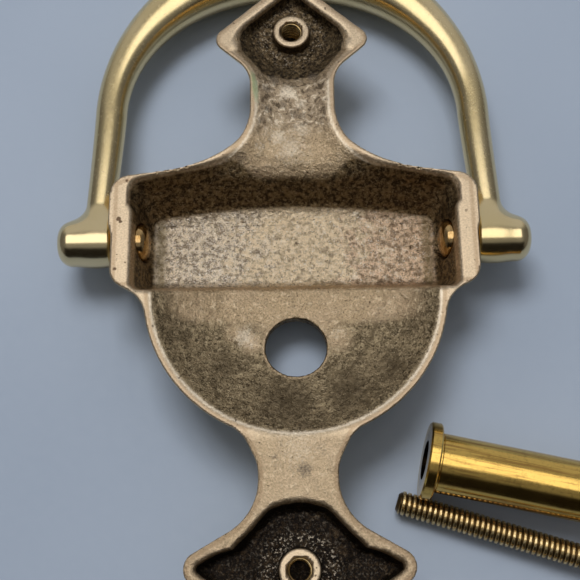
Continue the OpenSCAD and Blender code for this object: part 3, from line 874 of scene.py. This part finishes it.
# Darker patches in the bowl, all of them in its lower half
BOWL_DARK_PATCHES = [(-2, -11, 8, 0.75), (10, -9, 7, 0.7), (-14, -4, 5, 0.6), (-24, 2, 4, 0.55), (19, -5, 5, 0.65),
               (24, 3, 4, 0.5), (2, -17, 7, 0.5)]
STAINS = [(1.2, -25.5, 1.7, 0.95), (-4.4, -23, 0.9, 0.7), (4.8, -22, 1.0, 0.6), (-5.2, 55.6, 1.7, 0.8),
          (-3.9, 58.2, 1.6, 0.9), (4.4, 58.8, 1.3, 1), (-1.9, 52.3, 1.2, 0.9), (-5.2, 50.8, 1.1, 1),
          (0.2, 50.2, 1.7, 0.8), (2.0, 49.4, 1.2, 0.9), (-6.6, 47.8, 1.0, 0.8), (6.2, 47.4, 0.6, 1),
          (9.6, 45.5, 1.0, 0.7), (-11, 39.5, 1.6, 0.7)]
# Painted highlights on the necks and beside the viewer hole, where they also stand for polished patches
HIGHLIGHT_AND_POLISH_SPOTS = [(-1.0, 55.0, 2.0, 1), (1.9, 52.2, 1.3, 0.8), (1.6, 46.2, 2.4, 0.7), (-3.0, 44.4, 2.4, 0.8),
          (-0.5, 41.5, 4.0, 0.7), (-7.0, 42.0, 1.6, 0.6), (0, -21.5, 5.0, 0.5), (-10.5, 2.2, 2.6, 0.8),
          (8.8, 3.0, 2.0, 0.5), (-9, 0.6, 1.0, 0.8)]
SCARS = [(-34.4, 34.0, 0.7, 0.8), (-35.8, 25.6, 0.7, 1), (-35.4, 25.0, 0.5, 1), (-36.2, 14.9, 0.5, 1),
         (35.2, 26.5, 0.7, 0.7), (35.0, 22.8, 0.6, 0.6), (22.0, 37.6, 0.5, 0.8)]


def zone_masks(x, y, h, facing):
    """Which zone each point of the plate is in: rim, hollow, bowl, pocket, painted shade on the deep walls,
    painted shade along the pocket floor's edges, painted glints around the bosses, or front.
    """
    cavities = plate_cavities(x, y, h)
    pocket, bowl, trough, upper_hollow, lower_hollow = cavities
    across = np.abs(x)
    rho = np.hypot(x, y)
    ring = np.minimum(np.hypot(x, y - UPPER_BOSS_Y), np.hypot(x, y - LOWER_BOSS_Y))
    on_boss = near(h - BOSS_DROP, 0.5) * (ring < BOSS_R + 0.2)
    rim = smooth(h, 0.55, 0.15) * smooth(facing, 0.2, 0.7) * (1 - 0.7 * smooth(y, -17.5, -20.5)) + on_boss
    hollow = np.maximum(smooth(upper_hollow, 1.4, 0.2), smooth(lower_hollow, 0.8, 0.1))
    hollow = hollow * smooth(h, 0.3, 2.0) * (1 - on_boss)
    hollow = np.maximum(hollow, (ring < TAP_R + 0.5) * smooth(h, 1.2, 3.0))
    in_bowl = near(bowl, 0.9) * smooth(y, SHIELD_Y + 1.2, SHIELD_Y - 0.6)
    in_pocket = smooth(h, POCKET_T - 1.4, POCKET_T - 0.5) * (across < 33) * (facing > 0)
    in_pocket = in_pocket * smooth(y, SHIELD_Y + 1, SHIELD_Y + 3)
    wall_top = 35.5 + 6 * smooth(across, 7, 17)
    wall = smooth(h, POCKET_T - 0.4, POCKET_T - 1.5) * smooth(y, wall_top + 3.0, wall_top - 1.0)
    wall = wall * smooth(h, 0.4, 1.6) * (y > 25)
    side_wall = smooth(across, 28.6, 30.4) * smooth(h, 0.8, 3.0) * (y > SHIELD_Y) * (across < 34)
    # Painted shade: the pocket's top and side walls, the viewer hole's wall and the top of the upper hollow
    # are darkened as where shade falls
    shade = np.maximum(wall * (facing > 0.02) * (y < 44), 0.85 * side_wall)
    shade = np.maximum(shade, smooth(rho, HOLE_R + 0.35, HOLE_R + 0.1) * smooth(h, 5.6, 6.4))
    shade = np.maximum(shade, 0.55 * smooth(y, 51, 57) * smooth(upper_hollow, 4.0, 0.5) * smooth(h, 0.6, 1.6))
    # Painted shade along the edges of the pocket floor, by its walls and the bowl's lip
    border = np.maximum(near(y - wall_top + 3.2, 2.2), near(y - BOX_Y0 - 1.2, 2.0))
    border = np.maximum(near(across - 28.4, 2.6), border) * (h > POCKET_T - 1.6)
    front = smooth(facing, 0.1, -0.15) * (np.minimum.reduce(cavities) > 0.6) * (rho > HOLE_R + 0.6)
    return dict(rim=rim, hollow=hollow, bowl=in_bowl, pocket=in_pocket, shade=shade, border=border,
                lustre=near(ring - 5.8, 2.6), front=front)


def wear_masks(x, y, h):
    """Where the casting is worn, darker in patches of the bowl and along a painted crease shade, stained,
    given painted highlights and polished patches, mottled with dirt and painted sheen, scarred, tarnished or
    green.
    """
    across = np.abs(x)
    upper, lower = path_field(UPPER, x, y), path_field(LOWER, x, y)
    from_rim = np.hypot(x, y - SHIELD_Y) - BOWL_R
    worn = np.maximum(smooth(y, 2.5, SHIELD_Y - 3.0) * smooth(across, 30, 20), spots(x, y, WORN_SPOTS))
    worn = np.maximum(worn, near(from_rim, 0.4))
    worn = np.maximum(worn, near(np.hypot(x, y) - HOLE_R - 0.3, 0.7) * 0.8)
    # Painted crease shade: a darker line concentric with the rim, on the bowl's right side
    gloom = 0.7 * near(from_rim + 7.6 + 0.25 * across, 1.2) * smooth(x, 4, 12)
    gloom = np.maximum(spots(x, y, BOWL_DARK_PATCHES), gloom)
    # Painted highlight lines along the bowl's rim edge and the trough's rims
    edge_line = near(from_rim, 0.55) * (y < SHIELD_Y - 0.5)
    edge_line = np.maximum(edge_line, near(upper + TROUGH_RIM, 0.6) * (y > 37) * (y < 57))
    gleam = np.maximum(spots(x, y, HIGHLIGHT_AND_POLISH_SPOTS), 0.95 * edge_line * smooth(h, 1.6, 0.6))
    scratch = near(x + 35.8 - 0.12 * (y - 17.2), 0.4) * near(y - 17.2, 1.7)
    scar = np.maximum(spots(x, y, SCARS), scratch) * smooth(h, 1.0, 0.4)
    green = near(upper + 0.9 + 0.08 * (60 - y), 1.2) * smooth(x, -5, -6)
    green = green * near(y - 55.6, 7.5) * smooth(h, 3.0, 1.5)
    box = np.maximum(across - BOX_HALF_W, np.maximum(y - BOX_Y1, BOX_Y0 - y))
    outline = np.minimum.reduce([box, from_rim - SHIELD_RIM, upper, lower])
    tarnish = near(outline + 0.75, 0.9) * smooth(h, 1.2, 0.3)
    return dict(worn=worn, gloom=gloom, stain=spots(x, y, STAINS), gleam=gleam,
                grime=smooth(y, 43, 49) * smooth(y, 62, 56), scar=scar, green=green, tarnish=tarnish)


def knocker_plate():
    p, quads, normals = surface_net(plate_field, PLATE_LO - MARGIN, PLATE_HI + MARGIN, CELL)
    piece = new_piece("knocker_plate_casting", p, quads, CastBrass().finished(), normals)
    x, y, h = p[:, 0], p[:, 1], -p[:, 2]
    paint(piece, **zone_masks(x, y, h, normals[:, 2]), **wear_masks(x, y, h))
    place_piece(piece, "plate", "cast_brass", "knocker_plate")


def tapped_hole(name, boss_y):
    """The thread inside a boss, as a thin sleeve."""
    steps, sleeve = 12, 0.42
    crest_r, top = TAP_R - 0.05, -BOSS_DROP - 0.55
    step = THREAD_PITCH / steps
    rows = [top - step * k for k in range(int((TAP_T - BOSS_DROP - 0.7) / step))]
    profile = [(z, crest_r) for z in rows] + [(z, TAP_R + sleeve) for z in reversed(rows)]

    def radius_at(along, angle, radius):
        cut = crest_r + sleeve * thread_wave(THREAD_PITCH, along, angle, 1.5, 0.25)
        return np.where(radius < TAP_R, cut, radius)

    points, faces = turned(profile, 48, radius_at=radius_at)
    radius = np.hypot(points[:, 1], points[:, 2])
    piece = new_piece(name, points[:, [1, 2, 0]] + (0, boss_y, 0), faces, screw_material)
    paint(piece, crest=np.clip((crest_r + sleeve - radius) / sleeve, 0, 1))
    place_piece(piece, "plate", "cast_brass")


def knocker_bail():
    lo = np.array([-KNOB_HALF_W, -KNOB_R, -GRIP_T]) - MARGIN
    hi = np.array([KNOB_HALF_W, GRIP_REACH + GRIP_W, GRIP_T]) + MARGIN
    p, quads, normals = surface_net(bail_field, lo, hi, CELL)
    turn = np.array(Matrix.Rotation(-LEAN, 3, "X"))
    piece = new_piece("knocker_bail_casting", p @ turn.T + PIVOT, quads, polished_brass(), normals @ turn.T)
    paint(piece, knob=smooth(p[:, 1], KNOB_R + 4, KNOB_R))
    place_piece(piece, "bail", "polished_brass", "knocker_bail")


def pivot_pin(name, side):
    """A turned pin: domed end with a centre mark, journal, shoulder groove and shank."""
    flat, mark, rows = 1.2, 0.4, 10
    profile = [(PIN_END_X + mark, 0.0), (PIN_END_X, mark)]
    for k in range(rows + 1):
        turn = math.pi / 2 * k / rows
        r = flat + (JOURNAL_R - flat) * math.sin(turn)
        profile.append((PIN_END_X + PIN_DOME * (1 - math.cos(turn)), r))
    groove_r = JOURNAL_R - 0.25
    profile += [(KNOB_INNER - 0.5, JOURNAL_R), (KNOB_INNER - 0.4, groove_r), (KNOB_INNER - 0.1, groove_r),
                (KNOB_INNER, JOURNAL_R - 0.1), (KNOB_INNER, SHANK_R),
                (KNOB_INNER + SHANK_L - 0.4, SHANK_R), (KNOB_INNER + SHANK_L, SHANK_R - 0.4)]
    points, faces = turned(profile, 64, closed=False)
    points = points * (side, side, 1) + (0, PIVOT[1], PIVOT[2])
    node = "pivot_pin_" + name
    piece = new_piece(node + "_turned", points, faces, pin_material, smooth_degrees=50)
    place_piece(piece, "bail", "turned_brass", node)


# ---------------------------------------------------------------- the viewer
VIEWER_START = (VIEWER_X, VIEWER_Y, TABLE_Z + FLANGE_R)
VIEWER_TURN = math.degrees(math.atan2(VIEWER_AXIS.y, VIEWER_AXIS.x))
STACK = [SEAT_T + z for z in (0, 2.2, 3.0, 4.8, 8.3, 10.5)]
OBJECTIVE_Z, SPACER_Z, NEGATIVE_Z, SLEEVE_Z, FIELD_Z, STACK_END = STACK
LENS_BORE_R = LENS_R + 0.04
INNER_Z = GRIP_L + FLANGE_T
INNER_PITCH, INNER_ROOT_R = 0.75, INNER_R - 0.4


def viewer_piece(node, body, slot, shape, material, smooth_degrees=40):
    """A turned piece of the viewer, laid on the table."""
    points, faces = shape
    piece = new_piece(node + "_turned", laid(points, VIEWER_START, VIEWER_TURN), faces, material,
                      smooth_degrees=smooth_degrees)
    place_piece(piece, body, slot, node)
    return piece


def tube_shape(z0, z1, bore):
    """A ring that fits around the lenses' axis from z0 to z1."""
    edge = 0.12
    corners = [(z0, bore), (z0, LENS_R), (z1, LENS_R), (z1, bore), (z0, bore)]
    return turned(softened(corners, edge)[:-1])


def lens_shape(z0, z1, front_bulge, back_bulge):
    """A ground lens: two spherical faces inside z0 to z1 and a flat edge. A negative bulge is hollow."""
    rows = 7
    edge_front, edge_back = z0 + max(front_bulge, 0), z1 - max(back_bulge, 0)
    front = [(edge_front - front_bulge * (1 - (r / rows) ** 2), LENS_R * r / rows) for r in range(rows + 1)]
    back = [(edge_back + back_bulge * (1 - (r / rows) ** 2), LENS_R * r / rows) for r in range(rows, -1, -1)]
    return turned(front + back, 64, closed=False)


def outer_barrel():
    """Plain barrel whose flange holds the lenses from the front."""
    neck_r = BARREL_R - 0.12
    shell = [(0.1, LENS_R - 0.6), (0, LENS_R - 0.5), (0, FLANGE_R - 0.35), (0.35, FLANGE_R),
             (FLANGE_T - 0.3, FLANGE_R), (FLANGE_T, FLANGE_R - 0.3), (FLANGE_T, neck_r),
             (FLANGE_T + 0.45, neck_r), (FLANGE_T + 0.6, BARREL_R), (BARREL_L - 0.4, BARREL_R),
             (BARREL_L, BARREL_R - 0.4)]
    bore = [(BARREL_L, INNER_R + 0.1), (STACK_END, INNER_R + 0.1), (STACK_END, LENS_BORE_R),
            (SEAT_T, LENS_BORE_R), (SEAT_T, LENS_R - 0.6)]
    shape = turned(shell + bore, 128)
    piece = viewer_piece("viewer_outer_barrel", "viewer", "turned_brass", shape, barrel_material, 25)
    radius = np.hypot(shape[0][:, 1], shape[0][:, 2])
    # Painted shade inside the bore, around the lenses
    paint(piece, recess=(radius < LENS_R + 0.2) * 1.0)


def inner_barrel():
    """Threaded inner barrel with a slotted flange: the two slots take a coin or a key."""
    steps = 10
    tail, back = INNER_Z - INNER_L, INNER_Z + FLANGE_T
    rows = [(tail + INNER_PITCH * k / steps, INNER_R) for k in range(int(INNER_L / INNER_PITCH * steps))]
    rows[0] = (tail, INNER_R - 0.5)
    outside = rows + [(INNER_Z, INNER_R), (INNER_Z, FLANGE_R - 0.3), (INNER_Z + 0.3, FLANGE_R),
                      (back - 0.5, FLANGE_R), (back, FLANGE_R - 0.5)]
    inside = [(back, LENS_BORE_R), (INNER_Z, LENS_BORE_R), (INNER_Z, INNER_BORE_R), (tail, INNER_BORE_R)]
    points, faces = turned(outside + inside)
    angle = np.arctan2(points[:, 2], points[:, 1])
    radius = np.hypot(points[:, 1], points[:, 2])
    cut = thread(INNER_PITCH, INNER_ROOT_R, INNER_R, tail + 0.3, INNER_Z - 0.8, 0.8)
    threaded = (radius > INNER_ROOT_R - 0.2) & (points[:, 0] < INNER_Z - 0.01) & (radius < INNER_R + 0.1)
    wanted = np.where(threaded, cut(points[:, 0], angle, radius), radius)
    points[:, 1:] *= (wanted / radius)[:, None]
    slot_depth, slot_half, slot_reach = 1.1, 0.8, 2.2
    slots = (np.abs(points[:, 1]) < slot_half) & (radius > FLANGE_R - slot_reach)
    points[slots & (points[:, 0] > INNER_Z + 0.4), 0] -= slot_depth
    shape = points, faces
    viewer_piece("viewer_inner_barrel", "viewer_inner", "turned_brass", shape, barrel_material, 35)


def viewer():
    """Both barrels, the lenses and the rings between them."""
    outer_barrel()
    inner_barrel()
    gap = 0.02
    lenses = [("objective", "viewer", OBJECTIVE_Z, SPACER_Z - gap, 0.5, -0.5),
              ("negative", "viewer", NEGATIVE_Z + gap, SLEEVE_Z - gap, -0.5, -0.5),
              ("field", "viewer", FIELD_Z + gap, STACK_END - 0.05, 0.4, 0.5),
              ("eyepiece", "viewer_inner", INNER_Z + gap, INNER_Z + 1.48, 0.2, 0.5)]
    glass = clear_glass()
    for name, body, z0, z1, front_bulge, back_bulge in lenses:
        shape = lens_shape(z0, z1, front_bulge, back_bulge)
        viewer_piece(f"viewer_{name}_lens", body, "clear_glass", shape, glass)
    rings = [("lens_spacer", "viewer", SPACER_Z, NEGATIVE_Z, LENS_R - 1),
             ("lens_sleeve", "viewer", SLEEVE_Z, FIELD_Z, LENS_R - 1),
             ("eyepiece_ring", "viewer_inner", INNER_Z + 1.5, INNER_Z + 2.1, 3.5)]
    for name, body, z0, z1, bore in rings:
        viewer_piece("viewer_" + name, body, "turned_brass", tube_shape(z0, z1, bore), barrel_material)


# ---------------------------------------------------------------- the screws
def fixing_screw(number, tip):
    """A slotted machine screw, threaded all along, with a domed head."""
    steps, sides, dome_rows = 12, 72, 40
    count = int(SCREW_L / THREAD_PITCH * steps)
    places = [SCREW_L * k / count for k in range(count)]
    rows = [(z, min(SCREW_R, SCREW_R - SCREW_CHAMFER + z)) for z in places]
    dome = (HEAD_R ** 2 + HEAD_T ** 2) / (2 * HEAD_T)
    head = [(SCREW_L, SCREW_R), (SCREW_L, HEAD_R - 0.25), (SCREW_L + 0.2, HEAD_R - 0.05)]
    for k in range(1, dome_rows):
        r = HEAD_R * (1 - k / dome_rows)
        head.append((SCREW_L + HEAD_T - dome + math.sqrt(dome ** 2 - r ** 2), r))
    cut = thread(THREAD_PITCH, SCREW_ROOT_R, SCREW_R, 0, SCREW_L - 0.6, 0.4)
    points, faces = turned(rows + head, sides, closed=False, radius_at=cut)
    slot_half, slot_floor = 0.6, SCREW_L + HEAD_T - 1.4
    slot = (np.abs(points[:, 1]) < slot_half) & (points[:, 0] > slot_floor)
    points[slot, 0] = slot_floor
    radius = np.hypot(points[:, 1], points[:, 2])
    height = np.clip((radius - SCREW_ROOT_R) / (SCREW_R - SCREW_ROOT_R), 0, 1)
    crest = np.where(points[:, 0] > SCREW_L - 0.3, 1.0, height)
    tilt = math.degrees(math.atan((HEAD_R - SCREW_R) / (SCREW_L - SCREW_CHAMFER)))
    points = laid(points - (SCREW_CHAMFER, 0, 0), (*tip, TABLE_Z + SCREW_R), SCREW_TURN, -tilt)
    node = f"mounting_screw_{number}"
    piece = new_piece(node + "_rolled", points, faces, screw_material, smooth_degrees=60)
    paint(piece, crest=crest)
    place_piece(piece, f"screw_{number}", "screw_brass", node)


# ---------------------------------------------------------------- stage, light and camera
GRIP_MARK_PAST = 0.8


def table():
    """The table. It sinks ahead of the bail when that swings down past it."""
    half = 2.0
    corners = [(-half, -half, 0), (half, -half, 0), (half, half, 0), (-half, half, 0)]
    mesh = bpy.data.meshes.new("table")
    mesh.from_pydata(corners, [], [(0, 1, 2, 3)])
    mesh.materials.append(table_top())
    top = linked("table", mesh)
    mark = linked("grip_mark", None)
    reach = GRIP_REACH + GRIP_MARK_PAST
    forward, down = reach * math.cos(LEAN), reach * math.sin(LEAN)
    mark.location = (0, (PIVOT[1] + forward) * MM, (PIVOT[2] - down) * MM)
    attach(mark, "bail")
    top.location = (0, 0, -GRIP_T * MM)
    follow = top.constraints.new("COPY_LOCATION")
    follow.target = mark
    follow.use_x = follow.use_y = False
    follow.use_offset = True
    limit = top.constraints.new("LIMIT_LOCATION")
    limit.use_max_z = True
    limit.max_z = TABLE_Z * MM


def area_light(name, place, target, size, power, colour):
    lamp = bpy.data.lights.new(name, "AREA")
    lamp.shape = "RECTANGLE"
    lamp.size, lamp.size_y = size
    lamp.energy = power
    lamp.color = colour
    light = linked(name, lamp)
    light.location = place
    light.rotation_mode = "QUATERNION"
    light.rotation_quaternion = (Vector(target) - Vector(place)).to_track_quat("-Z", "Y")
    return light


def studio():
    """A soft box overhead for the metal and a window up the table for what is dull, in a room that is dark
    behind the camera."""
    soft_box = area_light("soft_box", (-0.10, 0.16, 0.9), (-0.10, 0.16, 0), (1.2, 0.72), 3.9,
                          (1.0, 0.985, 0.96))
    soft_box.visible_diffuse = False
    window = area_light("window", (-0.18, 0.50, 1.0), (0, 0, 0), (0.6, 0.42), 6.5, (0.98, 0.99, 1.0))
    window.visible_glossy = False
    world = bpy.data.worlds.new("room")
    bpy.context.scene.world = world
    world.use_nodes = True
    g = Graph(world.node_tree, "Generated")
    x, y, z = g.apart(g.where)
    toward = g.math("ARCTAN2", g.times(y, -1.0), z)
    overhead = g.mix(g.band(z, 0.2, 0.95), (0.10, 0.103, 0.11), (0.22, 0.225, 0.235))
    colour = g.mix(g.band(y, 0.42, 0.70), overhead, (0.48, 0.49, 0.51))
    colour = g.mix(g.band(g.math("ABSOLUTE", x), 0.45, 0.95), colour, (0.12, 0.122, 0.13))
    behind = g.band(toward, math.radians(34), math.radians(44))
    behind = g.times(behind, g.band(g.math("ABSOLUTE", x), 0.9, 0.6))
    colour = g.mix(behind, colour, (0.012, 0.011, 0.010))
    background = g.node("Background", {"Color": colour})
    out = g.tree.nodes.new("ShaderNodeOutputWorld")
    g.tree.links.new(background.outputs["Background"], out.inputs["Surface"])


def camera():
    """Looks down at the plate from a little below the viewer hole."""
    view = bpy.data.cameras.new("camera")
    view.lens = 59.85
    view.sensor_width = 36
    view.clip_start, view.clip_end = 0.01, 20
    eye = linked("camera", view)
    yaw, tip = math.radians(0.80), math.radians(17.18)
    ahead = Vector((math.sin(yaw) * math.sin(tip), math.cos(yaw) * math.sin(tip), -math.cos(tip)))
    up = Vector((math.sin(yaw) * math.cos(tip), math.cos(yaw) * math.cos(tip), math.sin(tip)))
    right = ahead.cross(up)
    eye.matrix_world = Matrix((right, up, -ahead)).transposed().to_4x4()
    eye.location = Vector((-1.89, -46.78, 183.5)) * MM
    bpy.context.scene.camera = eye


screw_material = screw_brass()
pin_material = turned_brass("pin_brass", (3.0, 0.6, 0.6), (0.62, 0.41, 0.18))
barrel_material = turned_brass("barrel_brass", (0.05, 1.3, 1.3), (0.70, 0.46, 0.12), VIEWER_TURN)
knocker_plate()
tapped_hole("upper_boss_thread", UPPER_BOSS_Y)
tapped_hole("lower_boss_thread", LOWER_BOSS_Y)
knocker_bail()
pivot_pin("right", 1)
pivot_pin("left", -1)
viewer()
for screw_number, screw_tip in enumerate(SCREW_TIPS, 1):
    fixing_screw(screw_number, screw_tip)
table()
studio()
camera()
bpy.context.scene.view_settings.view_transform = "Standard"
